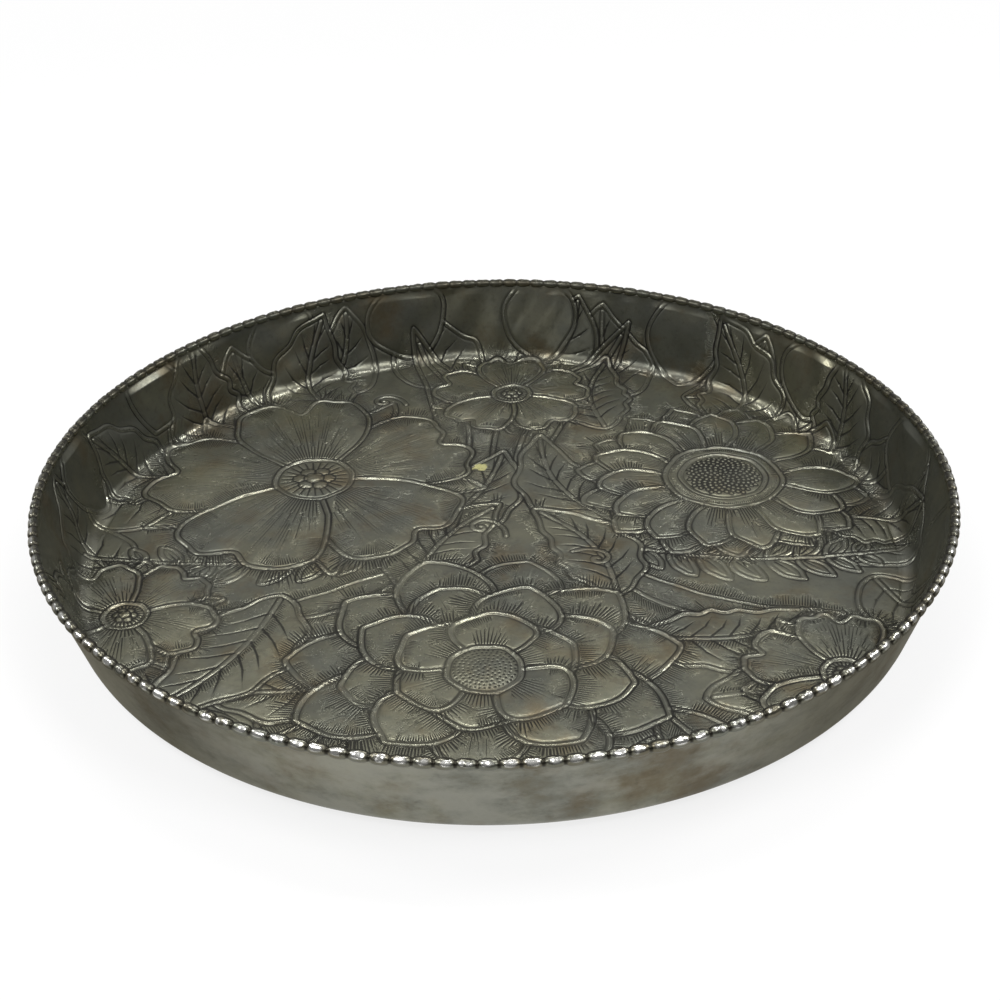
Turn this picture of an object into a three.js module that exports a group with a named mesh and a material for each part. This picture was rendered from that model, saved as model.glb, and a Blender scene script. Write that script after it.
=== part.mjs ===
// Round serving tray in sheet metal. The pan is one dished sheet with a flared wall. A beaded
// edging strip is rolled round a stiffening wire and crimped over the wall's upper edge.
import * as THREE from 'three';

// Driving dimensions, in millimetres. The tray stands on the plane z = 0, centred on the z axis.
const RIM_RADIUS = 150; // circle through the middle of the beads
const RIM_HEIGHT = 31; // height of that circle above the table
const WALL_SPREAD = 13.5; // how far that circle stands outside the flat of the base
const CORNER_RADIUS = 6.75; // outside of the bend between base and wall
const SHEET_THICKNESS = 1.2; // the pan's metal
const CORE_WIRE_RADIUS = 0.6; // stiffening wire inside the rim
const STRIP_THICKNESS = 0.4; // the edging strip's metal
const RIM_CLEARANCE = 0.25; // between strip, wire and sheet edge
const BEAD_COUNT = 168; // beads round the rim
const BEAD_RISE = 0.5; // crown of a bead above the neck between two beads

// Fineness of the round forms
const PAN_SEGMENTS = 112;
const CORNER_DIVISIONS = 3;
const WIRE_SEGMENTS = BEAD_COUNT;
const WIRE_SIDES = 6;
const RINGS_PER_BEAD = 3;
const STRIP_OUTER_POINTS = 7;
const STRIP_INNER_POINTS = 4;

// The wall's middle surface runs from the corner bend, which it touches, to the bead circle
const baseRadius = RIM_RADIUS - WALL_SPREAD;
const rimCentre = new THREE.Vector2(RIM_RADIUS, RIM_HEIGHT);
const bendCentre = new THREE.Vector2(baseRadius, CORNER_RADIUS);
const bendToRim = rimCentre.clone().sub(bendCentre);
const bendMiddle = CORNER_RADIUS - SHEET_THICKNESS / 2;
const flare = Math.acos(bendMiddle / bendToRim.length()) - bendToRim.angle();
const upWall = new THREE.Vector2(Math.sin(flare), Math.cos(flare));
const outOfWall = new THREE.Vector2(Math.cos(flare), -Math.sin(flare));

// A point of the radial section, given from the rim's centre across and up the wall
function atRim(across, up) {
  return rimCentre.clone().addScaledVector(outOfWall, across).addScaledVector(upWall, up);
}

function named(name, geometry, material) {
  const mesh = new THREE.Mesh(geometry, material);
  mesh.name = name;
  return mesh;
}

// A lathe turns its section about the y axis, so a turned form is then stood up along z
function standUp(mesh) {
  mesh.rotation.x = Math.PI / 2;
  return mesh;
}

// Pan: flat base, rounded corner and flared wall. Its edge stops just under the wire.
function trayPan() {
  const edge = -(CORE_WIRE_RADIUS + RIM_CLEARANCE);
  const outerEdge = atRim(SHEET_THICKNESS / 2, edge);
  const innerEdge = atRim(-SHEET_THICKNESS / 2, edge);
  const insideBend = CORNER_RADIUS - SHEET_THICKNESS;
  const section = new THREE.Path();
  section.moveTo(0, 0);
  section.lineTo(baseRadius, 0);
  section.absarc(bendCentre.x, bendCentre.y, CORNER_RADIUS, -Math.PI / 2, -flare, false);
  section.lineTo(outerEdge.x, outerEdge.y);
  section.lineTo(innerEdge.x, innerEdge.y);
  section.absarc(bendCentre.x, bendCentre.y, insideBend, -flare, -Math.PI / 2, true);
  section.lineTo(0, SHEET_THICKNESS);
  const geometry = new THREE.LatheGeometry(section.getPoints(CORNER_DIVISIONS), PAN_SEGMENTS);
  const material = new THREE.MeshStandardMaterial({ color: 0x636257, roughness: 0.42, metalness: 1 });
  return standUp(named('tray_pan', geometry, material));
}

// Core wire: a plain round hoop that keeps the rim stiff
function rimCoreWire() {
  const material = new THREE.MeshStandardMaterial({ color: 0x8c8b86, roughness: 0.45, metalness: 1 });
  const hoop = new THREE.TorusGeometry(RIM_RADIUS, CORE_WIRE_RADIUS, WIRE_SIDES, WIRE_SEGMENTS);
  const mesh = named('rim_core_wire', hoop, material);
  mesh.position.z = RIM_HEIGHT;
  return mesh;
}

// The edging strip's section where it stands `rise` above the neck: a C round the wire, open
// down the wall, with a mouth that takes the pan's edge
const hollowRadius = Math.max(CORE_WIRE_RADIUS, SHEET_THICKNESS / 2) + RIM_CLEARANCE;
const mouthHalf = SHEET_THICKNESS / 2 + RIM_CLEARANCE;

function stripArc(radius, count) {
  const half = Math.PI - Math.asin(mouthHalf / radius);
  return Array.from({ length: count }, (unused, k) => {
    const turn = Math.PI / 2 + half * ((2 * k) / (count - 1) - 1);
    return atRim(radius * Math.cos(turn), radius * Math.sin(turn));
  });
}

function stripSection(rise) {
  const inner = hollowRadius + rise;
  const outerArc = stripArc(inner + STRIP_THICKNESS, STRIP_OUTER_POINTS);
  const innerArc = stripArc(inner, STRIP_INNER_POINTS).reverse();
  return [...outerArc, ...innerArc, outerArc[0]];
}

// Beaded rim: the strip swells into a barrel-shaped bead and draws in to a neck, bead after bead
function beadedRim() {
  const rings = BEAD_COUNT * RINGS_PER_BEAD;
  const geometry = new THREE.LatheGeometry(stripSection(0), rings);
  const position = geometry.attributes.position;
  let vertex = 0;
  for (let ring = 0; ring <= rings; ring++) {
    const alongBead = (ring % RINGS_PER_BEAD) / RINGS_PER_BEAD;
    const rise = BEAD_RISE * Math.sqrt(1 - (2 * alongBead - 1) ** 2);
    const turn = (ring / rings) * 2 * Math.PI;
    for (const point of stripSection(rise)) {
      position.setXYZ(vertex, point.x * Math.sin(turn), point.y, point.x * Math.cos(turn));
      vertex += 1;
    }
  }
  const material = new THREE.MeshStandardMaterial({ color: 0x8f8d82, roughness: 0.3, metalness: 1 });
  return standUp(named('beaded_rim', geometry, material));
}

const tray = new THREE.Group();
tray.add(trayPan(), rimCoreWire(), beadedRim());

export default tray;
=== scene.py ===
import bpy
import numpy as np
from mathutils import Matrix, Vector


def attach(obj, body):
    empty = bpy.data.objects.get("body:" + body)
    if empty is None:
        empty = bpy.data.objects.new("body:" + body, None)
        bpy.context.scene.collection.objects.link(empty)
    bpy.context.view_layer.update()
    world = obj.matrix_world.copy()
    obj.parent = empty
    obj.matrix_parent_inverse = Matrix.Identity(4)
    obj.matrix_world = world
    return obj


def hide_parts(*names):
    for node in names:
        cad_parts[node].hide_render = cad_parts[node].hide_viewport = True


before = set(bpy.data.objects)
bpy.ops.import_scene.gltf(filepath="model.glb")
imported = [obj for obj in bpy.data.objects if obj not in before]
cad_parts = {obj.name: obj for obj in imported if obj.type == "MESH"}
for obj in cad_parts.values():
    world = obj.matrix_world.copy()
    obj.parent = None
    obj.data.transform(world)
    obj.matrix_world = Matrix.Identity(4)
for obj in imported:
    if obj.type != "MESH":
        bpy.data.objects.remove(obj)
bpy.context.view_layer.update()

# Chased flowers. The sheet is worked flat on pitch, before it is dished: liners raise the outlines,
# gravers cut the close shading strokes and punches set the dots. All sizes here are millimetres on
# the flat blank, and what is worked later lies over what is already there.
BLANK = 172.0
CELL = 0.25
PATH_STEP = 0.8
RIDGE_WIDTH = 0.50
RIDGE_HEIGHT = 0.38
GROOVE_OFF = 1.06
GROOVE_WIDTH = 0.38
GROOVE_DEPTH = 0.34
STROKE_PITCH = 0.85
STROKE_START = 1.4
STROKE_FADE = 0.6
DEEPEST = -0.45
HIGHEST = 1.5
WALL_LEAVES = 22
WALL_DROPS = 15
across = np.linspace(-BLANK, BLANK, int(2 * BLANK / CELL) + 1)
relief = np.zeros((across.size, across.size), np.float32)
tarnish = np.zeros_like(relief)
ridge = np.zeros_like(relief)
beat = np.zeros_like(relief)
shade = np.zeros_like(relief)
hand = np.random.default_rng(11)


def heading(angle):
    """A unit step at an angle."""
    return np.array([np.cos(angle), np.sin(angle)])


def polar(reach, degrees):
    """A point at a distance and a bearing from the middle of the blank."""
    return reach * heading(np.radians(degrees))


def patch(points, margin):
    """The cells of the blank within a margin of some points, with their x and y."""
    points = np.atleast_2d(points)
    low = np.floor((points.min(0) - margin + BLANK) / CELL).astype(int).clip(0, across.size - 1)
    high = np.ceil((points.max(0) + margin + BLANK) / CELL).astype(int).clip(0, across.size - 1) + 1
    rows, cols = slice(low[1], high[1]), slice(low[0], high[0])
    return (rows, cols), across[None, cols], across[rows, None]


def reach_of_line(x, y, start, end):
    """Share along a line, which may lie past its ends, and distance from it."""
    run = end - start
    share = ((x - start[0]) * run[0] + (y - start[1]) * run[1]) / max(run @ run, 1e-9)
    along = share.clip(0, 1)
    return share, np.hypot(x - start[0] - along * run[0], y - start[1] - along * run[1])


def beside(path, limit):
    """The cells round a path, how far off it and along it they lie, if they lie to its left, and if
    they lie square off it, not past an end."""
    spot, x, y = patch(path, limit)
    gap = np.full((y.size, x.size), limit)
    run = np.zeros_like(gap)
    left = np.zeros_like(gap, bool)
    square = np.zeros_like(gap, bool)
    rows, cols = spot
    length = 0.0
    for start, end in zip(path[:-1], path[1:]):
        near, near_x, near_y = patch([start, end], limit)
        part = (slice(near[0].start - rows.start, near[0].stop - rows.start),
                slice(near[1].start - cols.start, near[1].stop - cols.start))
        step = end - start
        stride = np.hypot(*step)
        share, away = reach_of_line(near_x, near_y, start, end)
        along = share.clip(0, 1)
        closer = away < gap[part]
        gap[part][closer] = away[closer]
        run[part][closer] = length + stride * along[closer]
        left[part][closer] = (step[0] * (near_y - start[1]) > step[1] * (near_x - start[0]))[closer]
        square[part][closer] = (np.abs(share - along) * stride < 0.12 * away)[closer]
        length += stride
    return spot, x, y, gap, run, left, square


def inside(x, y, outline):
    """Which cells lie inside a closed outline."""
    odd = np.zeros((y.size, x.size), bool)
    for (ax, ay), (bx, by) in zip(outline, np.roll(outline, -1, 0)):
        if ay != by:
            odd ^= ((ay > y) != (by > y)) & (x < (bx - ax) * (y - ay) / (by - ay) + ax)
    return odd


def spaced(path, step):
    """The same path with its points an even step apart."""
    length = np.append(0, np.cumsum(np.linalg.norm(np.diff(path, axis=0), axis=1)))
    at = np.linspace(0, length[-1], max(int(length[-1] / step), 2) + 1)
    return np.stack([np.interp(at, length, path[:, k]) for k in (0, 1)], 1)


def square_to(path):
    """Unit steps to the left of a path."""
    run = np.gradient(path, axis=0)
    run /= np.linalg.norm(run, axis=1)[:, None] + 1e-9
    return np.stack([-run[:, 1], run[:, 0]], 1)


def raised_line(spot, x, y, gap, weight=1.0, within=False):
    """A rounded ridge with a dark groove along each side, fainter on the inside of an outline."""
    force = weight * (0.78 + 0.22 * np.sin(x * 0.11 + 1.3 * np.sin(y * 0.07)) * np.sin(y * 0.09))
    crest = np.exp(-((gap / (RIDGE_WIDTH + 0.13 * force)) ** 2))
    groove = np.exp(-(((gap - GROOVE_OFF) / GROOVE_WIDTH) ** 2)) * np.where(within, 0.82, 1.0)
    worked_up = force * (RIDGE_HEIGHT * crest - GROOVE_DEPTH * groove)
    relief[spot] = relief[spot] * (1 - 0.6 * crest) + worked_up
    tarnish[spot] = np.maximum(tarnish[spot] * (1 - crest), force * groove)
    ridge[spot] = np.maximum(ridge[spot], crest)
    shade[spot] *= 1 - crest


def chase_line(path, weight=1.0):
    """A raised line along an open path."""
    raised_line(*beside(spaced(path, PATH_STEP), 2.8)[:4], weight)


def cut(start, end, width=0.31, depth=0.22, tail=0.3):
    """One stroke of the graver, deep at its start and thin at its end, which spares the ridges."""
    spot, x, y = patch([start, end], 1.2)
    share, gap = reach_of_line(x, y, start, end)
    thin = 1 - (1 - tail) * share.clip(0, 1)
    mark = np.exp(-((gap / (width * thin)) ** 2)) * np.sqrt(thin) * (1 - 0.9 * ridge[spot])
    relief[spot] -= depth * mark
    tarnish[spot] = np.maximum(tarnish[spot], mark)


def engrave(spot, count, strength):
    """Close strokes, too fine to cut one by one: a stroke lies at each whole count, as deep as set."""
    deeper = strength > shade[spot]
    beat[spot] = np.where(deeper, count, beat[spot])
    shade[spot] = np.where(deeper, strength, shade[spot])


def uneven(count, low, high):
    """A length of its own for each stroke."""
    number = np.rint(count).astype(int)
    return hand.uniform(low, high, np.ptp(number) + 1)[number - number.min()]


def shade_along(field, on, length, pitch=STROKE_PITCH, start=STROKE_START, part=(0.0, 1.0), lean=0.0):
    """Strokes that stand off a path on one side of it and fade away from it."""
    spot, x, y, gap, run, left, square = field
    count = (run - lean * gap) / pitch
    end = length * (0.75 + 0.25 * np.sin(0.19 * np.rint(count) + hand.uniform(0, 6)))
    share = run / run.max()
    on = on & square & (gap > start) & (gap < gap.max()) & (share >= part[0]) & (share <= part[1])
    fade = 1 - (gap - start) / (end * uneven(count, 0.6, 1.05))
    engrave(spot, count, np.where(on, fade.clip(0, 1) ** STROKE_FADE, 0))


def hatch(path, length, pitch=STROKE_PITCH, side=1, start=STROKE_START, part=(0.0, 1.0), lean=0.0):
    """Strokes along the left (1) or the right (-1) of a path."""
    field = beside(spaced(path, PATH_STEP), start + length + 0.5)
    left = field[5]
    shade_along(field, left == (side > 0), length, pitch, start, part, side * lean)


def fan(centre, angle, near, far, spread):
    """Strokes that spread from a petal's foot towards its tip. Where they part, more start between."""
    rays = [centre + far * heading(angle + off) for off in (-spread, 0, spread)]
    spot, x, y = patch(rays + [centre + near * heading(angle)], 2.0)
    reach = np.hypot(x - centre[0], y - centre[1]).clip(0.1)
    off = (np.arctan2(y - centre[1], x - centre[0]) - angle + np.pi) % (2 * np.pi) - np.pi
    foot_count = off * near / STROKE_PITCH
    ragged = reach * (1 + 0.28 * np.sin(2.4 * np.floor(foot_count)))
    rows = 2 ** np.floor(np.log2((ragged / near).clip(1)))
    count = foot_count * rows
    end = (far - near) * (0.30 + 0.70 * np.cos(1.45 * (off / spread).clip(-1, 1)))
    fade = (1 - (reach - near) / (end * uneven(count, 0.55, 1.0))).clip(0, 1) ** STROKE_FADE
    thin = near * rows / reach
    engrave(spot, count, np.where((np.abs(off) < spread) & (reach > near), fade * thin, 0))


def emboss(outline, dome=0.5, soft=3.2, weight=1.0, shadow=0.0, part=(0.06, 0.94)):
    """A petal or leaf laid over what is there: swollen inside, outlined, with shading outside it."""
    round_it = np.linspace(0, 2 * np.pi, len(outline), endpoint=False)
    sway = sum(hand.uniform(0.1, 0.3) * np.sin(k * round_it + hand.uniform(0, 6)) for k in (3, 5, 8))
    sway *= np.clip(np.ptp(outline, axis=0).max() / 40, 0.2, 1)
    outline = outline + sway[:, None] * square_to(outline)
    field = beside(spaced(np.vstack([outline, outline[:1]]), PATH_STEP), max(9.0, shadow + 2))
    spot, x, y, gap = field[:4]
    within = inside(x, y, outline)
    if shadow:
        shade_along(field, ~within, shadow, part=part)
    relief[spot] = np.where(within, dome * (1 - np.exp(-gap / soft)), relief[spot])
    tarnish[spot] = np.where(within, 0, tarnish[spot])
    ridge[spot] = np.where(within, 0, ridge[spot])
    shade[spot] = np.where(within, 0, shade[spot])
    raised_line(spot, x, y, gap, weight, within)


def dots(points, radius, height):
    """Small round bosses raised with a cup punch, or dents where the height is negative."""
    for point in points:
        spot, x, y = patch(point, radius + 1.2)
        gap = np.hypot(x - point[0], y - point[1])
        boss = np.exp(-((gap / radius) ** 4))
        if height > 0:
            moat = np.exp(-(((gap - 1.35 * radius) / 0.32) ** 2))
            relief[spot] += height * boss - 0.12 * moat
            tarnish[spot] = np.maximum(tarnish[spot] * (1 - boss), 0.9 * moat)
        else:
            relief[spot] += height * boss
            tarnish[spot] = np.maximum(tarnish[spot], 0.9 * boss)


def stipple(centre, inner, outer, pitch=1.5):
    """A matted ground: dents punched ring by ring."""
    for ring in np.arange(inner, outer, pitch):
        count = max(int(2 * np.pi * ring / pitch), 1)
        turn = hand.uniform(0, 6)
        dots([centre + ring * heading(turn + 2 * np.pi * k / count) + hand.uniform(-0.2, 0.2, 2)
              for k in range(count)], 0.42, -0.2)


def circle(centre, radius):
    """A round outline, clockwise."""
    turn = np.linspace(2 * np.pi, 0, 73)[:-1]
    return centre + radius * np.stack([np.cos(turn), np.sin(turn)], 1)


def lance(foot, angle, length, width, belly=0.6, bow=0.0):
    """The outline of a pointed petal, clockwise, widest at `belly` of its length."""
    t = (1 - np.cos(np.linspace(0, np.pi, 37))) / 2
    half = width / 2 * np.sin(np.pi * t ** (np.log(0.5) / np.log(belly))) ** 0.75
    aside = heading(angle + np.pi / 2)
    middle = foot + (length * t)[:, None] * heading(angle) + (bow * length * t * t)[:, None] * aside
    side = half[:, None] * aside
    return np.vstack([middle + side, (middle - side)[-2:0:-1]])


def dahlia(centre, radius, turn):
    """Rows of pointed petals, each row over the last."""
    centre = np.array(centre, float)
    for count, foot, tip, shift in ((11, 0.32, 1.0, 0.0), (9, 0.20, 0.74, 0.5), (6, 0.08, 0.48, 0.2)):
        for k in hand.permutation(count):
            angle = turn + 2 * np.pi * (k + shift) / count + hand.uniform(-0.03, 0.03)
            reach = radius * tip * hand.uniform(0.95, 1.04)
            width = 0.9 * 2 * np.pi * reach / count
            start = centre + radius * foot / 2 * heading(angle)
            length = reach - radius * foot / 2
            petal = lance(start, angle, length, width, 0.62, hand.uniform(-0.03, 0.03))
            emboss(petal, 0.35 + 0.3 * (1 - tip), 2.6, shadow=0.15 * radius, part=(0.2, 0.8))
            fan(centre, angle, 0.42 * reach, 0.95 * reach, 0.40 * width / reach)
            hatch(petal, 0.10 * radius, side=-1, part=(0.22, 0.47))
    emboss(circle(centre, 0.19 * radius), 0.9, 3.0)
    stipple(centre, 0.6, 0.16 * radius)


def wild_rose(centre, radius, turn, petals=5):
    """Five broad notched petals over five sepals, round a ring of stamens."""
    centre = np.array(centre, float)
    half = 1.12 * np.pi / petals
    sweep = np.linspace(1, -1, 61)
    for k in range(petals):
        angle = turn + 2 * np.pi * (k + 0.5) / petals
        emboss(lance(centre, angle, 1.06 * radius, 0.24 * radius, 0.62), 0.3, 2.5, 0.9, 0.06 * radius)
    for k in range(petals):
        angle = turn + 4 * np.pi * k / petals
        notch = 1 - 0.13 * np.exp(-((sweep / 0.13) ** 2))
        edge = radius * notch * (1 - 0.55 * np.abs(sweep) ** 5)
        edge *= 1 + 0.018 * np.sin(9 * sweep + hand.uniform(0, 6))
        edge *= 1 + 0.012 * np.sin(17 * sweep + hand.uniform(0, 6))
        round_tip = angle + half * sweep
        lip = centre + edge[:, None] * np.stack([np.cos(round_tip), np.sin(round_tip)], 1)
        foot = [centre + 0.12 * radius * heading(angle + half * side) for side in (-1, 0, 1)]
        emboss(np.vstack([lip, foot]), 0.65, 3.4, 1.1, 2.5 + 0.15 * radius, (0.08, 0.87))
        for part in ((0.12, 0.40), (0.60, 0.88)):
            hatch(lip, 0.17 * radius, 0.9, -1, 1.6, part)
        fan(centre, angle, 0.25 * radius, 1.02 * radius, 0.86 * half)
    emboss(circle(centre, 0.235 * radius), 0.4, 1.5)
    for k in range(26):
        ray = heading(2 * np.pi * k / 26)
        cut(centre + 0.11 * radius * ray, centre + 0.20 * radius * ray, 0.32, tail=0.9)
    dots([centre + 0.085 * radius * heading(np.pi * k / 3) for k in range(6)], 0.03 * radius + 0.3, 0.3)
    dots([centre], 0.04 * radius + 0.3, 0.45)


def sun_daisy(centre, radius, turn):
    """Two rows of narrow petals round a collar and a seeded disc."""
    centre = np.array(centre, float)
    for tip, shift in ((1.0, 0.0), (0.90, 0.5)):
        for k in range(15):
            angle = turn + 2 * np.pi * (k + shift) / 15 + hand.uniform(-0.025, 0.025)
            reach = radius * tip * hand.uniform(0.95, 1.04)
            start = centre + 0.28 * reach * heading(angle)
            petal = lance(start, angle, 0.72 * reach, 0.34 * radius, 0.62, hand.uniform(-0.06, 0.06))
            emboss(petal, 0.5, 2.4, shadow=0.14 * radius, part=(0.22, 0.78))
            fan(centre, angle, 0.42 * radius, 0.90 * radius, 0.14)
    collar = circle(centre, 0.40 * radius)
    emboss(collar, 0.5, 2.0, 1.1, 0.12 * radius, (0, 1))
    hatch(collar, 0.06 * radius, side=-1, start=1.5)
    emboss(circle(centre, 0.29 * radius), 1.0, 4.0)
    seeds = int((0.25 * radius / 1.05) ** 2)
    golden = np.pi * (3 - 5 ** 0.5)
    dots([centre + 1.05 * np.sqrt(k) * heading(k * golden) for k in range(seeds)], 0.62, 0.28)


def spine(foot, tip, bow, steps=45):
    """A midrib from foot to tip that bows to one side by a share of its length."""
    foot, tip = np.array(foot, float), np.array(tip, float)
    t = np.linspace(0, 1, steps)
    aside = np.array([foot[1] - tip[1], tip[0] - foot[0]])
    return t, foot + t[:, None] * (tip - foot) + (bow * np.sin(np.pi * t))[:, None] * aside


def leaf(foot, tip, width, bow=0.12, teeth=0, veins=7, shadow=7.0):
    """A broad leaf with side veins, shaded along one side of its midrib and of its outline."""
    t, rib = spine(foot, tip, bow, 91)
    out = square_to(rib)
    half = width / 2 * np.sin(np.pi * t ** 0.8) ** 0.85
    if teeth:
        half = half * (1 + 0.07 * np.sin(2 * np.pi * teeth * t ** 0.9))
    outline = np.vstack([rib + out * half[:, None], (rib - out * half[:, None])[-2:0:-1]])
    emboss(outline, 0.55, 0.2 * width, 1.0, shadow, (0.53, 0.93) if bow > 0 else (0.06, 0.47))
    for k in range(veins):
        j = int(8 + 66 * (k + 0.6) / veins)
        q = min(j + 14, 90)
        for side in (-1, 1):
            turn_off = rib[j] + side * 0.6 * out[j]
            middle = rib[(j + q) // 2] + side * 0.42 * half[q] * out[j]
            cut(turn_off, middle, 0.46, tail=0.8)
            cut(middle, rib[q] + side * 0.8 * half[q] * out[q], 0.40)
    if veins and shadow:
        hatch(rib[6:80], 0.7 * shadow, 0.95, 1 if bow > 0 else -1, 1.5, lean=0.5)
    chase_line(rib[3:-5], 0.9)


def blade(foot, tip, width, bow=0.2):
    """A long narrow leaf, shaded with slanting strokes from its midrib."""
    leaf(foot, tip, width, bow, veins=0)
    rib = spine(foot, tip, bow)[1]
    for side in (-1, 1):
        hatch(rib[5:36], 0.34 * width, 0.9, side, 1.5, lean=side * 0.8)


def fern(foot, tip, width, bow=0.15, pairs=9):
    """A stem with pairs of small leaves that shorten towards its tip."""
    rib = spine(foot, tip, bow)[1]
    out = square_to(rib)
    run = np.gradient(rib, axis=0)
    for k in range(pairs):
        j = int(4 + 38 * k / pairs)
        size = width / 2 * np.sin(np.pi * (0.18 + 0.75 * k / pairs)) ** 0.7
        for side in (-1, 1):
            way = side * out[j] + 0.9 * run[j] / np.linalg.norm(run[j])
            angle = np.arctan2(way[1], way[0])
            emboss(lance(rib[j], angle, size, 0.42 * size, 0.5), 0.35, 1.6, 0.85)
            cut(rib[j] + 0.2 * size * heading(angle), rib[j] + 0.85 * size * heading(angle), 0.34)
    chase_line(rib, 0.9)


def bud(foot, angle, length):
    """A closed flower between two sepals."""
    foot = np.array(foot, float)
    for off in (-0.4, 0.4):
        sepal = lance(foot, angle + off, 0.75 * length, 0.26 * length, 0.5, -0.3 * off)
        emboss(sepal, 0.3, 2.0, 0.9, 2.5)
    emboss(lance(foot, angle, length, 0.48 * length, 0.48), 0.8, 4.0, 1.1, 3.5)
    fan(foot, angle, 0.2 * length, 0.65 * length, 0.3)
    for off in (-0.12, 0.12):
        cut(foot + 0.3 * length * heading(angle + off), foot + 0.95 * length * heading(angle), 0.42)


def tendril(start, angle, size, turns, side):
    """A stem that curls up towards its end."""
    t = np.linspace(0, 1, 70)
    turn = angle + side * 2 * np.pi * turns * t ** 1.5
    step = size * (1 - 0.85 * t) / 12
    steps = step[:, None] * np.stack([np.cos(turn), np.sin(turn)], 1)
    chase_line(np.array(start, float) + np.cumsum(steps, 0), 0.85)


# Leaves that climb the wall, with drops between them that hang from its edge
for k in range(WALL_LEAVES):
    side = (-1) ** k
    at = 360 / WALL_LEAVES * k + hand.uniform(-3, 3)
    inner, outer = 120 + 8 * (k % 2), 164 + 3 * (k % 2)
    leaf(polar(inner, at - 6 * side), polar(outer, at + 4 * side), 38 - 8 * (k % 2), 0.14 * side,
         veins=5, shadow=0)
for k in range(WALL_DROPS):
    at = 360 / WALL_DROPS * (k + 0.3) + hand.uniform(-5, 5)
    inward = np.radians(at + 180 + hand.uniform(-25, 25))
    drop = lance(polar(174, at), inward, hand.uniform(28, 40), hand.uniform(26, 38), 0.45)
    emboss(drop, 0.7, 4.0, 0.9)

# Greenery over the floor, then the flowers, which lie over it
fern((-10, 4), (-140, -6), 34, 0.07)
fern((30, 0), (140, -10), 34, -0.08)
for foot, tip, bow in (((-12, 30), (-34, 150), -0.10), ((6, 34), (62, 146), 0.12),
                       ((-44, -92), (-110, -122), 0.18), ((48, -92), (100, -128), -0.15),
                       ((-24, -14), (-100, -40), 0.20), ((30, -12), (112, -46), -0.20)):
    blade(foot, tip, 24, bow)
for foot, tip, width, bow in (((-92, 78), (-134, 112), 34, 0.10), ((-106, 44), (-160, 40), 34, -0.10),
                              ((-60, 92), (-76, 148), 34, 0.12), ((116, 52), (154, 84), 32, -0.10),
                              ((110, 12), (156, -4), 30, 0.10), ((86, 76), (104, 132), 34, -0.12),
                              ((-34, 2), (4, 62), 32, -0.12), ((50, 4), (18, 74), 30, 0.14),
                              ((-34, -70), (-92, -78), 30, 0.12), ((44, -56), (104, -44), 30, -0.14),
                              ((62, -88), (132, -100), 30, 0.10), ((-28, -30), (2, 24), 30, 0.10),
                              ((40, -34), (14, 20), 28, -0.12), ((44, 78), (48, 134), 30, 0.12),
                              ((-70, -30), (-108, -92), 34, 0.10)):
    leaf(foot, tip, width, bow, 5)
wild_rose((8, 108), 31, 0.3)
wild_rose((-120, -40), 30, 0.9)
wild_rose((106, -78), 31, 0.2)
sun_daisy((84, 40), 53, 0.1)
wild_rose((-66, 44), 60, 0.5)
dahlia((-4, -72), 61, 0.15)
bud((-62, -116), np.radians(-128), 28)
bud((58, -118), np.radians(-62), 28)
for start, angle, size, side in (((-34, 100), 1.9, 8, 1), ((4, 2), 1.6, 9, 1), ((26, -8), 0.4, 8, -1)):
    tendril(start, angle, size, 1.3, side)
relief.clip(DEEPEST, HIGHEST, out=relief)
tarnish.clip(0, 1, out=tarnish)

# Tray pan. One sheet of a soft grey metal, pressed to a flat floor, a rounded corner and a flared
# wall, oxidised dark all over and rubbed back, so that the chased grooves stay black.
CORNER_RADIUS = 0.00675
BEND_LENGTH = 0.0071
EDGE_PLAIN = 0.0025
WALL_WAVE = 0.42
FLOOR_WAVE = 0.15
STROKE_CUT = 0.06
WALL_STROKE_LOSS = 0.8
# A band round the bend made brighter and smoother, part wear and part painted highlight: its strength,
# and its place and width as shares of the bend.
BEND_WEAR_AND_SHEEN = 0.9
BEND_SHEEN_AT = 0.32
BEND_SHEEN_SPAN = 0.30
PAN_RINGS = 480
SHELL_SHARE = 4
SHELL_BEND_RINGS = 10
SHELL_WALL_RINGS = 16
MAP_ROWS = 4
INNER_MAP_AT = (0.353, 0.647)
INNER_MAP_HALF = 0.348
BASE_MAP_AT = (0.85, 0.85)
BASE_MAP_HALF = 0.14
SHELL_MAP = ((0.005, 0.005), (0.995, 0.270))
EDGE_MAP = ((0.71, 0.30), (0.99, 0.60))
OLIVE_METAL = (0.216, 0.212, 0.154, 1)
COOL_METAL = (0.158, 0.162, 0.133, 1)
BROWN_FILM = (0.125, 0.091, 0.044, 1)
RIDGE_METAL = (0.34, 0.335, 0.285, 1)
GROOVE_BLACK = (0.006, 0.0055, 0.004, 1)
FLECK_YELLOW = (0.42, 0.40, 0.16, 1)
FLECK_AT = (-0.005, 0.050, 0.0012)


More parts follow.
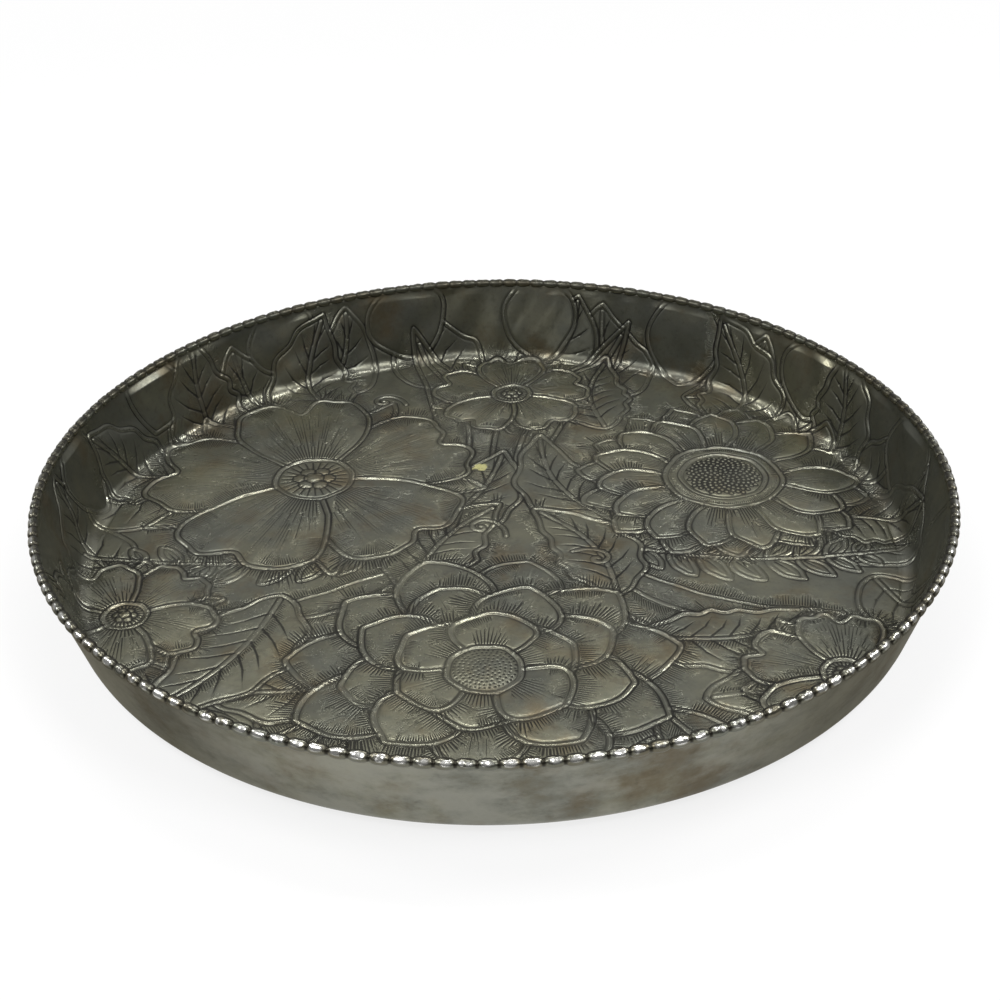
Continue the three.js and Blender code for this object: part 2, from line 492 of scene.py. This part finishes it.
class Tone:
    """A shader socket that arithmetic works on: each operation adds its Math node."""

    def __init__(self, tree, socket=None):
        self.tree = tree
        self.socket = socket

    def node(self, kind, settings, inputs, output=0):
        made = self.tree.nodes.new(kind)
        for name, value in settings.items():
            setattr(made, name, value)
        for name, value in inputs.items():
            if isinstance(value, Tone):
                self.tree.links.new(value.socket, made.inputs[name])
            else:
                made.inputs[name].default_value = value
        return Tone(self.tree, made.outputs[output] if len(made.outputs) else None)

    def math(self, operation, *values):
        return self.node("ShaderNodeMath", {"operation": operation}, dict(enumerate(values)))

    def __add__(self, other):
        return self.math("ADD", self, other)

    def __sub__(self, other):
        return self.math("SUBTRACT", self, other)

    def __rsub__(self, other):
        return self.math("SUBTRACT", other, self)

    def __mul__(self, other):
        return self.math("MULTIPLY", self, other)

    __radd__ = __add__
    __rmul__ = __mul__

    def between(self, low, high):
        """0 below low and 1 above high, with a soft step from one to the other."""
        return self.node("ShaderNodeMapRange", {"interpolation_type": "SMOOTHSTEP"},
                         {0: self, 1: low, 2: high, 3: 0.0, 4: 1.0})

    def blend(self, under, over):
        """A colour that goes from one to the other with this value."""
        return self.node("ShaderNodeMix", {"data_type": "RGBA"}, {0: self, 6: under, 7: over}, 2)

    def noise(self, where, scale, detail=3.0, rough=0.55):
        return self.node("ShaderNodeTexNoise", {},
                         {"Vector": where, "Scale": scale, "Detail": detail, "Roughness": rough}, "Fac")

    def attribute(self, name):
        return self.node("ShaderNodeAttribute", {"attribute_name": name}, {}, "Fac")


def new_finish(name):
    """An empty material, the start of its shader arithmetic and its place over the tray."""
    finish = bpy.data.materials.new(name)
    finish.use_nodes = True
    finish.node_tree.nodes.clear()
    tone = Tone(finish.node_tree)
    return finish, tone, tone.node("ShaderNodeTexCoord", {}, {}, "Object")


def coat(tone, inputs):
    """Ends a finish in one metal shader."""
    shader = tone.node("ShaderNodeBsdfPrincipled", {}, inputs)
    tone.node("ShaderNodeOutputMaterial", {}, {"Surface": shader})


def oxidised(tone, where):
    """The pan's mottled colour, olive and cool greys in clouds with brown films, and its patterns."""
    cloud = tone.noise(where, 24, 6, 0.65).between(0.38, 0.62)
    film = tone.noise(where, 40, 6, 0.65).between(0.48, 0.70)
    speck = tone.noise(where, 420, 4, 0.6)
    colour = cloud.blend(OLIVE_METAL, COOL_METAL)
    colour = (film * 0.65).blend(colour, BROWN_FILM)
    dull = speck.between(0.48, 0.82) * 0.30
    return dull.blend(colour, GROOVE_BLACK), film, speck


def chased_metal():
    """The inside: black in the grooves and strokes, worn brighter on the ridges, and brighter along
    the bend as wear and as a painted highlight.
    """
    finish, tone, where = new_finish("chased_metal")
    wear = tone.noise(where, 28, 3, 0.5).between(0.25, 0.6)
    groove = tone.attribute("groove").between(0.20, 0.56) * (0.72 + 0.28 * wear)
    crest = tone.attribute("crest")
    count = tone.attribute("beat")
    stroke = (0.34 * tone.attribute("stroke") - count.math("PINGPONG", count, 0.5)).between(-0.04, 0.08)
    groove = groove.math("MAXIMUM", groove, 0.95 * stroke)
    colour, film, speck = oxidised(tone, where)
    # Ridges worn brighter; along the bend the same blend is partly a painted highlight.
    colour = (crest * 0.22).blend(colour, RIDGE_METAL)
    colour = (groove * 0.97).blend(colour, GROOVE_BLACK)
    from_fleck = tone.node("ShaderNodeVectorMath", {"operation": "DISTANCE"},
                           {0: where, 1: FLECK_AT}, "Value")
    fleck = 1 - (from_fleck + 0.004 * tone.noise(where, 350)).between(0.0042, 0.0050)
    colour = (0.8 * fleck).blend(colour, FLECK_YELLOW)
    grain = tone.noise(where, 900, 4, 0.6)
    dents = tone.noise(where, 130, 3, 0.5)
    bump = tone.node("ShaderNodeBump", {}, {"Strength": 0.5, "Distance": 0.0004,
                                            "Height": 0.16 * grain + dents - 0.6 * stroke})
    coat(tone, {"Base Color": colour, "Metallic": 0.94 - 0.3 * groove - 0.6 * fleck, "Normal": bump,
                "Roughness": 0.23 + 0.10 * film + 0.10 * speck - 0.07 * crest + 0.25 * groove})
    return finish


def plain_metal():
    """The outside: the same metal with pale and brown streaks that lie along the wall."""
    finish, tone, where = new_finish("plain_metal")
    colour, film = oxidised(tone, where)[:2]
    lying = tone.node("ShaderNodeMapping", {}, {"Vector": where, "Scale": (1, 1, 1.8)})
    streak = tone.noise(lying, 40, 8, 0.66)
    drawn = tone.noise(lying, 300, 4, 0.6)
    colour = ((1 - streak.between(0.40, 0.62)) * 0.5).blend(colour, RIDGE_METAL)
    colour = (streak.between(0.52, 0.74) * 0.45).blend(colour, BROWN_FILM)
    bump = tone.node("ShaderNodeBump", {}, {"Strength": 0.25, "Distance": 0.0003,
                                            "Height": 0.5 * drawn + tone.noise(where, 70, 3, 0.5)})
    coat(tone, {"Base Color": colour, "Metallic": 0.94, "Normal": bump,
                "Roughness": 0.30 + 0.08 * film + 0.14 * drawn})
    return finish


def mesh_piece(name, points, faces):
    """A smooth-shaded mesh object from points and from arrays of faces with equal corner counts."""
    mesh = bpy.data.meshes.new(name)
    corners = np.concatenate([part.ravel() for part in faces])
    counts = np.concatenate([np.full(len(part), part.shape[1]) for part in faces])
    mesh.vertices.add(len(points))
    mesh.vertices.foreach_set("co", points.astype(np.float32).ravel())
    mesh.loops.add(len(corners))
    mesh.loops.foreach_set("vertex_index", corners.astype(np.int32))
    mesh.polygons.add(len(counts))
    mesh.polygons.foreach_set("loop_start", (np.cumsum(counts) - counts).astype(np.int32))
    mesh.update(calc_edges=True)
    mesh.shade_smooth()
    piece = bpy.data.objects.new(name, mesh)
    bpy.context.scene.collection.objects.link(piece)
    return piece


def square_rings(rings):
    """A square net of points that bends into rings: ring and turn of each point, the net's quads, the
    outermost points in order, and each point's place in the square."""
    step = np.arange(-rings, rings + 1)
    i, j = (axis.ravel().astype(float) for axis in np.meshgrid(step, step))
    ring = np.maximum(np.abs(i), np.abs(j))
    with np.errstate(divide="ignore", invalid="ignore"):
        by_column = np.pi / 4 * j / i + np.pi * (i < 0)
        by_row = np.pi / 2 * np.sign(j) - np.pi / 4 * i / j
    turn = np.where(np.abs(i) >= np.abs(j), by_column, by_row)
    turn[ring == 0] = 0
    side = 2 * rings + 1
    first = (np.arange(side - 1)[:, None] * side + np.arange(side - 1)).ravel()
    quads = np.stack([first, first + 1, first + side + 1, first + side], 1)
    outer = np.nonzero(ring == rings)[0]
    outer = outer[np.argsort(turn[outer] % (2 * np.pi - 1e-7))]
    return ring, turn, quads, outer, np.stack([i, j], 1) / rings


def strip_map(lanes, steps, rows, low, high):
    """Where the quads of a long strip lie on the flat map, cut into rows: an array by lane, step,
    corner, u and v."""
    in_row = steps // rows
    step = np.arange(steps)
    lane = np.arange(lanes)[:, None]
    corner = []
    for ahead, above in ((0, 0), (1, 0), (1, 1), (0, 1)):
        u = np.broadcast_to((step % in_row + ahead) / in_row, (lanes, steps))
        v = (step // in_row + 0.96 * (lane + above) / lanes) / rows
        corner.append(np.stack([u, v], -1))
    return np.array(low) + (np.array(high) - low) * np.stack(corner, 2)


def lay_map(piece, places):
    """Stores the flat map that the finish is baked on."""
    flat = np.concatenate([part.reshape(-1) for part in places]).astype(np.float32)
    piece.data.uv_layers.new(name="OFBake").data.foreach_set("uv", flat)


def pan_profile(length, sheet_side):
    """Radius, height and inward normal of the sheet's inner (1) or outer (0) face, by the length
    along it from the middle."""
    bend = CORNER_RADIUS - sheet_side * sheet
    floor_end = base_radius
    bend_end = floor_end + bend * (np.pi / 2 - flare)
    angle = np.clip((length - floor_end) / bend, 0, np.pi / 2 - flare) - np.pi / 2
    rise = np.maximum(length - bend_end, 0)
    radius = np.minimum(length, floor_end) + bend * np.cos(angle) + rise * np.sin(flare)
    height = CORNER_RADIUS + bend * np.sin(angle) + rise * np.cos(flare)
    return radius, height, -np.cos(angle), -np.sin(angle)


pan_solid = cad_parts["tray_pan"].data
solid_places = np.empty(3 * len(pan_solid.vertices), np.float32)
pan_solid.vertices.foreach_get("co", solid_places)
solid = solid_places.reshape(-1, 3).astype(float)
solid_radius = np.hypot(solid[:, 0], solid[:, 1])
sheet = solid[solid_radius < 1e-4, 2].max()
base_radius = solid_radius[solid[:, 2] < 1e-5].max()
inner_edge = np.argmax(solid[:, 2])
outer_edge = np.argmax(solid_radius)
flare = np.arctan2(solid[inner_edge, 2] - solid[outer_edge, 2],
                   solid_radius[outer_edge] - solid_radius[inner_edge])


def sheet_length(edge, sheet_side):
    """Length along one face from the middle of the floor to the edge of the wall."""
    bend = CORNER_RADIUS - sheet_side * sheet
    bend_top = CORNER_RADIUS - bend * np.sin(flare)
    return base_radius + bend * (np.pi / 2 - flare) + (solid[edge, 2] - bend_top) / np.cos(flare)


def worked(grid, x, y):
    """A value of the chased blank at points of the sheet, in millimetres."""
    col, row = ((value + BLANK) / CELL for value in (x, y))
    c, r = (value.astype(int).clip(0, across.size - 2) for value in (col, row))
    fc, fr = col - c, row - r
    return ((grid[r, c] * (1 - fc) + grid[r, c + 1] * fc) * (1 - fr)
            + (grid[r + 1, c] * (1 - fc) + grid[r + 1, c + 1] * fc) * fr)


def standing(radius, turn, height):
    """Points of the tray by their radius, turn and height."""
    return np.stack([radius * np.cos(turn), radius * np.sin(turn), height], 1)


inner_length = sheet_length(inner_edge, 1)
inner_step, inner_turn, inner_quads, inner_ring, inner_place = square_rings(PAN_RINGS)
along = inner_length * inner_step / PAN_RINGS
flat_x, flat_y = 1000 * along * np.cos(inner_turn), 1000 * along * np.sin(inner_turn)
radius, height, out_radius, out_height = pan_profile(along, 1)
plain_edge = np.clip((inner_length - along) / EDGE_PLAIN - 0.4, 0, 1)
ripple = np.sin(0.13 * flat_x + 2 * np.sin(0.05 * flat_y)) * np.sin(0.11 * flat_y + 1.7)
fine_ripple = np.sin(0.31 * flat_x - 0.2 * flat_y + ripple)
wave = np.where(along > base_radius, WALL_WAVE, FLOOR_WAVE) * (ripple + 0.6 * fine_ripple)
stroke_count = worked(beat, flat_x, flat_y)
past_floor = along - base_radius
on_wall = np.clip(past_floor / BEND_LENGTH, 0, 1)
stroke = plain_edge * (1 - WALL_STROKE_LOSS * on_wall) * worked(shade, flat_x, flat_y)
fine_cuts = STROKE_CUT * stroke * (1 + np.cos(2 * np.pi * stroke_count))
lift = 0.001 * plain_edge * (worked(relief, flat_x, flat_y) + wave - fine_cuts)
inner_points = standing(radius + lift * out_radius, inner_turn, height + lift * out_height)
groove = plain_edge * worked(tarnish, flat_x, flat_y)
# Round the bend a band is made brighter and smoother: part wear, part a painted highlight laid where
# the lamps glint in it.
bend_wear_and_sheen = BEND_WEAR_AND_SHEEN * np.exp(-((past_floor / BEND_LENGTH - BEND_SHEEN_AT) / BEND_SHEEN_SPAN) ** 2)
crest = plain_edge * np.maximum(worked(ridge, flat_x, flat_y), bend_wear_and_sheen)

shell_rings = PAN_RINGS // SHELL_SHARE
base_step, base_turn, base_quads, base_ring, base_place = square_rings(shell_rings)
base_points = standing(base_radius * base_step / shell_rings, base_turn, np.zeros(base_step.size))
shell_bend_end = base_radius + CORNER_RADIUS * (np.pi / 2 - flare)
shell_bend = np.linspace(base_radius, shell_bend_end, SHELL_BEND_RINGS)
shell_wall = np.linspace(shell_bend_end, sheet_length(outer_edge, 0), SHELL_WALL_RINGS)
shell_at = np.append(shell_bend[1:], shell_wall[1:])
shell_turn = base_turn[base_ring]
shell_points = np.concatenate([
    standing(np.full(shell_turn.size, r), shell_turn, np.full(shell_turn.size, z))
    for r, z in zip(*pan_profile(shell_at, 0)[:2])])

base_start = len(inner_points)
shell_start = base_start + len(base_points)
shell_net = np.vstack([base_start + base_ring,
                       shell_start + np.arange(len(shell_points)).reshape(len(shell_at), -1)])
shell_next = np.roll(shell_net, -1, 1)
shell_corners = [shell_net[:-1], shell_next[:-1], shell_next[1:], shell_net[1:]]
shell_quads = np.stack(shell_corners, -1).reshape(-1, 4)
edge_inner = np.stack([np.roll(inner_ring, -k)[::SHELL_SHARE] for k in range(SHELL_SHARE, -1, -1)], 1)
edge_faces = np.column_stack([shell_net[-1], shell_next[-1], edge_inner])
tray_pan = mesh_piece(
    "tray_pan_chased", np.concatenate([inner_points, base_points, shell_points]),
    [inner_quads, base_start + base_quads[:, ::-1], shell_quads, edge_faces])
for name, values in (("groove", groove), ("crest", crest), ("beat", stroke_count), ("stroke", stroke)):
    whole = np.zeros(shell_start + len(shell_points), np.float32)
    whole[:len(values)] = values
    tray_pan.data.attributes.new(name, "FLOAT", "POINT").data.foreach_set("value", whole)
inner_map = np.array(INNER_MAP_AT) + INNER_MAP_HALF * inner_place[inner_quads]
base_map = np.array(BASE_MAP_AT) + BASE_MAP_HALF * base_place[base_quads[:, ::-1]]
shell_map = strip_map(len(shell_at), shell_turn.size, MAP_ROWS, *SHELL_MAP)
edge_row = strip_map(1, shell_turn.size, MAP_ROWS, *EDGE_MAP)[0]
edge_share = np.linspace(1, 0, SHELL_SHARE + 1)[:, None]
edge_top = edge_row[:, None, 3] + edge_share * (edge_row[:, 2] - edge_row[:, 3])[:, None]
edge_map = np.concatenate([edge_row[:, :2], edge_top], 1)
lay_map(tray_pan, [inner_map, base_map, shell_map, edge_map])
finish_of_face = (np.arange(len(tray_pan.data.polygons)) >= len(inner_quads)).astype(np.int32)
tray_pan.data.polygons.foreach_set("material_index", finish_of_face)
tray_pan.data.materials.append(chased_metal())
tray_pan.data.materials.append(plain_metal())
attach(tray_pan, "root")
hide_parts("tray_pan")

# Core wire. A plain drawn steel hoop that the beaded strip is rolled round, which keeps the rim stiff.
# It lies hidden in the strip, so its solid stays as it is and only gets a finish.
WIRE_GREY = (0.26, 0.255, 0.24, 1)


def drawn_wire():
    """Grey steel with drawing lines and a little rust."""
    finish, tone, where = new_finish("drawn_wire")
    rust = tone.noise(where, 160, 5, 0.6).between(0.5, 0.75)
    line = tone.noise(where, 1400, 3, 0.6)
    bump = tone.node("ShaderNodeBump", {}, {"Strength": 0.2, "Distance": 0.0001, "Height": line})
    coat(tone, {"Base Color": (rust * 0.6).blend(WIRE_GREY, BROWN_FILM), "Metallic": 1 - 0.5 * rust,
                "Roughness": 0.35 + 0.2 * rust, "Normal": bump})
    return finish


core_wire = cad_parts["rim_core_wire"]
core_wire.data.materials.clear()
core_wire.data.materials.append(drawn_wire())

# Beaded rim. A thin strip of the same metal, stamped into barrel-shaped beads, rolled to a C section
# round the wire and crimped over the wall's edge. The beads' upper outer sides are worn bright and
# painted brighter as a highlight; their undersides are left dull and their inner tops painted black as
# shade, and the necks are black as tarnish and painted shade.
BEADS = 168
RINGS_PER_BEAD = 16
RIM_RADIUS = 0.150
RIM_HEIGHT = 0.031
STRIP_HOLLOW = 0.00085
STRIP_NECK = 0.00112
BEAD_CROWN = 0.00172
OUTER_POINTS = 28
INNER_POINTS = 8
RIM_MAP_ROWS = 12
RIM_MAP = ((0.005, 0.005), (0.995, 0.995))
BEAD_LENGTH = 0.0050
BARREL_POWER = 2.2
BARREL_ROUND = 0.6
BEAD_LIMIT = 1.03
SHOULDER_TURN = np.radians(68)
SHOULDER_FLAT = 0.00030
SHOULDER_REACH = 0.00115
# Where the painted shade under the beads and along their inner tops sets in, and where, low on the
# inner side, it gives way to the plain dull tone.
LOW_SHADE_TURN = np.radians(-14)
LOW_SHADE_BLEND = np.radians(60)
INNER_SHADE_TURN = np.radians(92)
INNER_SHADE_BLEND = np.radians(28)
LIP_TURN = np.radians(152)
LIP_BLEND = np.radians(30)
CUP_TURN = np.radians(120)
CUP_DEPTH = 0.00026
CUP_REACH = 0.00065
RUBBED_AND_LIT_METAL = (0.71, 0.705, 0.67, 1)
NECK_AND_SHADE_BLACK = (0.030, 0.028, 0.021, 1)


def rubbed_and_shaded_beads():
    """Dull metal, worn and painted bright as a highlight on the beads' upper outer sides, dull as
    painted shade underneath, black as painted shade on their inner tops, and black in the necks as
    tarnish and painted shade.
    """
    finish, tone, where = new_finish("rubbed_and_shaded_beads")
    worn = tone.noise(where, 300, 2, 0.5).between(0.32, 0.52)
    # Bright where the beads are worn and where their lit upper outer side is painted bright.
    rubbed_and_lit = tone.attribute("rubbed_and_lit") * (0.55 + 0.45 * worn)
    blotch = tone.noise(where, 60, 4, 0.6).between(0.35, 0.7)
    grain = tone.noise(where, 1500, 3, 0.6)
    dull = (blotch * 0.5).blend(COOL_METAL, BROWN_FILM)
    colour = rubbed_and_lit.between(0.45, 0.85).blend(dull, RUBBED_AND_LIT_METAL)
    # Black where tarnish and painted shade lie: necks, inner tops and the hollow inside the strip.
    colour = tone.attribute("shaded").between(0.38, 0.90).blend(colour, NECK_AND_SHADE_BLACK)
    bump = tone.node("ShaderNodeBump", {}, {"Strength": 0.12, "Distance": 0.0001, "Height": grain})
    coat(tone, {"Base Color": colour, "Metallic": 0.95, "Normal": bump,
                "Roughness": 0.34 - 0.20 * rubbed_and_lit + 0.06 * grain})
    return finish


def strip_arc(radius, count):
    """Turn round the wire and radius of an arc that is left open below for the sheet's edge."""
    half = np.pi - np.arcsin(STRIP_HOLLOW / radius)
    return np.pi / 2 + half * np.linspace(-1, 1, count), np.full(count, radius)


rim_rings = BEADS * RINGS_PER_BEAD
bead_pitch = 2 * np.pi * RIM_RADIUS / BEADS
along_bead = bead_pitch * (np.arange(RINGS_PER_BEAD) / RINGS_PER_BEAD - 0.5)
dress = np.random.default_rng(5)
bead_size = 1 + dress.normal(0, 0.06, BEADS)
bead_lean = dress.normal(0, 0.22, BEADS)
bead_wear = dress.uniform(0.78, 1.0, BEADS)
marks = []
for mark_turn, mark_depth, mark_reach in ((SHOULDER_TURN, SHOULDER_FLAT, SHOULDER_REACH),
                                          (CUP_TURN, CUP_DEPTH, CUP_REACH)):
    marks.append((mark_turn + dress.normal(0, 0.15, BEADS), dress.normal(0, 0.0007, BEADS),
                  mark_depth * dress.uniform(0.3, 1.5, BEADS), mark_reach))
rim_points = []
rubbed_and_lit = []
shaded = []
for turn_step in range(rim_rings):
    bead, part = divmod(turn_step, RINGS_PER_BEAD)
    off_middle = along_bead[part]
    swell = max(1 - abs(2 * off_middle / BEAD_LENGTH) ** BARREL_POWER, 0) ** BARREL_ROUND
    swell *= bead_size[bead] * (1 + bead_lean[bead] * off_middle / BEAD_LENGTH)
    bead_radius = STRIP_NECK + (BEAD_CROWN - STRIP_NECK) * min(swell, BEAD_LIMIT)
    arc_turn, arc_radius = strip_arc(bead_radius, OUTER_POINTS)
    dents = []
    for mark_turn, mark_along, mark_depth, mark_reach in marks:
        from_mark = np.hypot(off_middle - mark_along[bead], bead_radius * (arc_turn - mark_turn[bead]))
        dents.append(mark_depth[bead] * np.exp(-((from_mark / mark_reach) ** 2)))
    hollow = STRIP_HOLLOW + 0.5 * (bead_radius - STRIP_NECK)
    hollow_turn, hollow_radius = strip_arc(hollow, INNER_POINTS)
    spin = np.append(arc_turn, hollow_turn[::-1])
    section_radius = np.append(arc_radius - sum(dents) * swell, hollow_radius)
    out, above = section_radius * np.cos(spin), section_radius * np.sin(spin)
    reach = RIM_RADIUS + out * np.cos(flare) + above * np.sin(flare)
    rise = RIM_HEIGHT - out * np.sin(flare) + above * np.cos(flare)
    rim_points.append(standing(reach, np.full(len(reach), 2 * np.pi * turn_step / rim_rings), rise))
    # Painted shade: the inner top of each bead goes black, the underside stays dull where it meets the
    # wall, and low on the inner side the dark gives way again.
    within = np.clip((arc_turn - INNER_SHADE_TURN) / INNER_SHADE_BLEND, 0, 1)
    lip = np.clip((arc_turn - LIP_TURN) / LIP_BLEND, 0, 1)
    raised = np.clip((arc_turn - LOW_SHADE_TURN) / LOW_SHADE_BLEND, 0, 1)
    # Wear on the crowns, cut back on the sides painted as shade, so the bright metal is a painted
    # highlight as well as wear.
    handled_and_lit = bead_wear[bead] * raised * (1 - 0.85 * within) * (1 - 0.6 * dents[1] / CUP_DEPTH)
    rubbed_and_lit.append(np.append(swell * handled_and_lit, np.zeros(INNER_POINTS)))
    # The necks are painted black, as tarnish and as the shade between the beads, less so low down; the
    # hollow inside the strip is black too.
    dark_neck = (1 - swell) * (0.7 + 0.3 * raised) * (1 - 0.5 * lip)
    painted_inner_shade = 0.80 * within * (1 - lip)
    shaded.append(np.append(np.maximum(dark_neck, painted_inner_shade), np.ones(INNER_POINTS)))
section_size = OUTER_POINTS + INNER_POINTS
rim_net = np.arange(rim_rings * section_size).reshape(rim_rings, section_size)
rim_ahead, rim_up = np.roll(rim_net, -1, 0), np.roll(rim_net, -1, 1)
rim_quads = np.stack([rim_net, rim_ahead, np.roll(rim_ahead, -1, 1), rim_up], -1).reshape(-1, 4)
beaded_rim = mesh_piece("beaded_rim_strip", np.concatenate(rim_points), [rim_quads])
for name, values in (("rubbed_and_lit", rubbed_and_lit), ("shaded", shaded)):
    beaded_rim.data.attributes.new(name, "FLOAT", "POINT").data.foreach_set(
        "value", np.concatenate(values).astype(np.float32))
rim_map = strip_map(section_size, rim_rings, RIM_MAP_ROWS, *RIM_MAP)
lay_map(beaded_rim, [rim_map.swapaxes(0, 1)])
beaded_rim.data.materials.append(rubbed_and_shaded_beads())
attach(beaded_rim, "root")
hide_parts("beaded_rim")

# Stage. A pale floor that keeps the tray's shadow, under a studio sky that is dim behind the camera
# and brighter above and behind the tray. Two lamps stand in front of the tray, one at each side of
# it, one high behind it and a small one low in front.
FLOOR_SIDE = 4.0
FLOOR_DROP = 0.0003
FLOOR_PALE = (0.82, 0.82, 0.82, 1)
MIRRORED_PAINTED_SHADE = (0.30, 0.285, 0.24, 1)
MIRRORED_PALE = (0.97, 0.97, 0.96, 1)
WHITE = (1, 1, 1, 1)
EVEN_LIGHT = 0.13


def seen(tone, straight, mirrored):
    """How white the floor is made where the camera sees it straight, and in gloss or glass."""
    path = tone.node("ShaderNodeLightPath", {}, {}, "Is Camera Ray")
    rays = path.socket.node.outputs
    gloss, clear = (Tone(tone.tree, rays[name]) for name in ("Is Glossy Ray", "Is Transmission Ray"))
    return straight * path + mirrored * (gloss + clear)


def pale_floor():
    """Matt and pale, and white where the camera sees it away from the tray. The metal mirrors it pale
    in front of the tray and dull elsewhere, a painted shade in the tray's reflections."""
    finish, tone, where = new_finish("pale_floor")
    matt = tone.node("ShaderNodeBsdfDiffuse", {}, {"Color": FLOOR_PALE})
    back = tone.node("ShaderNodeSeparateXYZ", {}, {0: where}, "Y")
    straight = tone.node("ShaderNodeLightPath", {}, {}, "Is Camera Ray")
    # Painted shade in reflections: the floor looks dull to gloss beside and behind the tray.
    mirrored = (1 - back.between(-0.158, -0.105)).blend(MIRRORED_PAINTED_SHADE, MIRRORED_PALE)
    white = tone.node("ShaderNodeEmission", {}, {"Color": straight.blend(mirrored, WHITE),
                                                 "Strength": 1.0})
    away = tone.node("ShaderNodeVectorMath", {"operation": "LENGTH"}, {0: where}, "Value")
    whiteness = seen(tone, 0.8 + 0.2 * away.between(0.3, 1.0), 1.0)
    surface = tone.node("ShaderNodeMixShader", {}, {0: whiteness, 1: matt, 2: white})
    tone.node("ShaderNodeOutputMaterial", {}, {"Surface": surface})
    return finish


half_floor = FLOOR_SIDE / 2
floor_points = np.array([(half_floor * x, half_floor * y, -FLOOR_DROP)
                         for x, y in ((-1, -1), (1, -1), (1, 1), (-1, 1))])
floor = mesh_piece("floor", floor_points, [np.array([[0, 1, 2, 3]])])
floor.data.materials.append(pale_floor())

sky = bpy.data.worlds.new("studio_sky")
bpy.context.scene.world = sky
sky.use_nodes = True
sky.node_tree.nodes.clear()
tone = Tone(sky.node_tree)
way = tone.node("ShaderNodeTexCoord", {}, {}, "Generated")
to_back = tone.node("ShaderNodeSeparateXYZ", {}, {0: way}, "Y")
to_right, to_top = (Tone(sky.node_tree, to_back.socket.node.outputs[axis]) for axis in "XZ")
front_light = 0.04 * (0 - to_back).between(0.55, 0.95)
left_light = 0.06 * (0 - to_right).between(0.3, 0.9)
middle = 1 - to_right.math("ABSOLUTE", to_right - 0.11).between(0.10, 0.75)
back_light = (0.10 + 0.25 * middle) * to_back.between(-0.4, 0.9)
top_light = 0.36 * to_top.between(0.44, 0.95)
light = EVEN_LIGHT + front_light + left_light + back_light + top_light
camera_ray = tone.node("ShaderNodeLightPath", {}, {}, "Is Camera Ray")
strength = camera_ray + (1 - camera_ray) * light
backing = tone.node("ShaderNodeBackground", {}, {"Color": WHITE, "Strength": strength})
tone.node("ShaderNodeOutputWorld", {}, {"Surface": backing})


def soft_box(name, azimuth, elevation, distance, width, length, power):
    """A lamp that faces the tray, placed by its turn from the camera's side, in degrees, its height
    in degrees and its distance."""
    lamp = bpy.data.lights.new(name, "AREA")
    lamp.shape = "RECTANGLE"
    lamp.size = width
    lamp.size_y = length
    lamp.energy = power
    a, e = np.radians(azimuth), np.radians(elevation)
    place = distance * Vector((np.sin(a) * np.cos(e), -np.cos(a) * np.cos(e), np.sin(e)))
    holder = bpy.data.objects.new(name, lamp)
    holder.location = place
    holder.rotation_euler = place.to_track_quat("Z", "Y").to_euler()
    bpy.context.scene.collection.objects.link(holder)


soft_box("lamp_front_left", -46, 57, 1.2, 0.40, 0.46, 5.0)
soft_box("lamp_front_right", 52, 57, 1.2, 0.40, 0.46, 4.6)
soft_box("lamp_left", -104, 42, 1.2, 0.30, 0.26, 3.8)
soft_box("lamp_right", 108, 40, 1.2, 0.30, 0.26, 4.6)
soft_box("lamp_behind", 176, 66, 1.3, 0.80, 0.07, 4.2)
soft_box("lamp_low", -15, 7, 1.5, 0.12, 0.08, 0.45)

# Camera. Fitted to the ellipse of the bead row and to the outline, in parts of the bead circle's
# radius from the middle of that circle.
LENS = 57.47
CAMERA_REACH = 3.5652 * RIM_RADIUS
CAMERA_RISE = np.radians(30.440)
CAMERA_YAW = np.radians(0.2523)
CAMERA_TILT = np.radians(1.2155)
CAMERA_ROLL = np.radians(-1.0216)
down = CAMERA_RISE + CAMERA_TILT
forward = Vector((np.sin(CAMERA_YAW) * np.cos(down), np.cos(CAMERA_YAW) * np.cos(down), -np.sin(down)))
right = forward.cross(Vector((0, 0, 1))).normalized()
up = right.cross(forward)
camera_x = np.cos(CAMERA_ROLL) * right + np.sin(CAMERA_ROLL) * up
camera_y = np.cos(CAMERA_ROLL) * up - np.sin(CAMERA_ROLL) * right
view = bpy.data.cameras.new("photo_view")
view.lens = LENS
view.sensor_width = 36.0
view.clip_start = 0.01
camera = bpy.data.objects.new("photo_view", view)
stand = Matrix((camera_x, camera_y, -forward)).transposed().to_4x4()
stand.translation = Vector((0, -CAMERA_REACH * np.cos(CAMERA_RISE),
                            RIM_HEIGHT + CAMERA_REACH * np.sin(CAMERA_RISE)))
camera.matrix_world = stand
bpy.context.scene.collection.objects.link(camera)
bpy.context.scene.camera = camera
bpy.context.scene.view_settings.view_transform = "Standard"
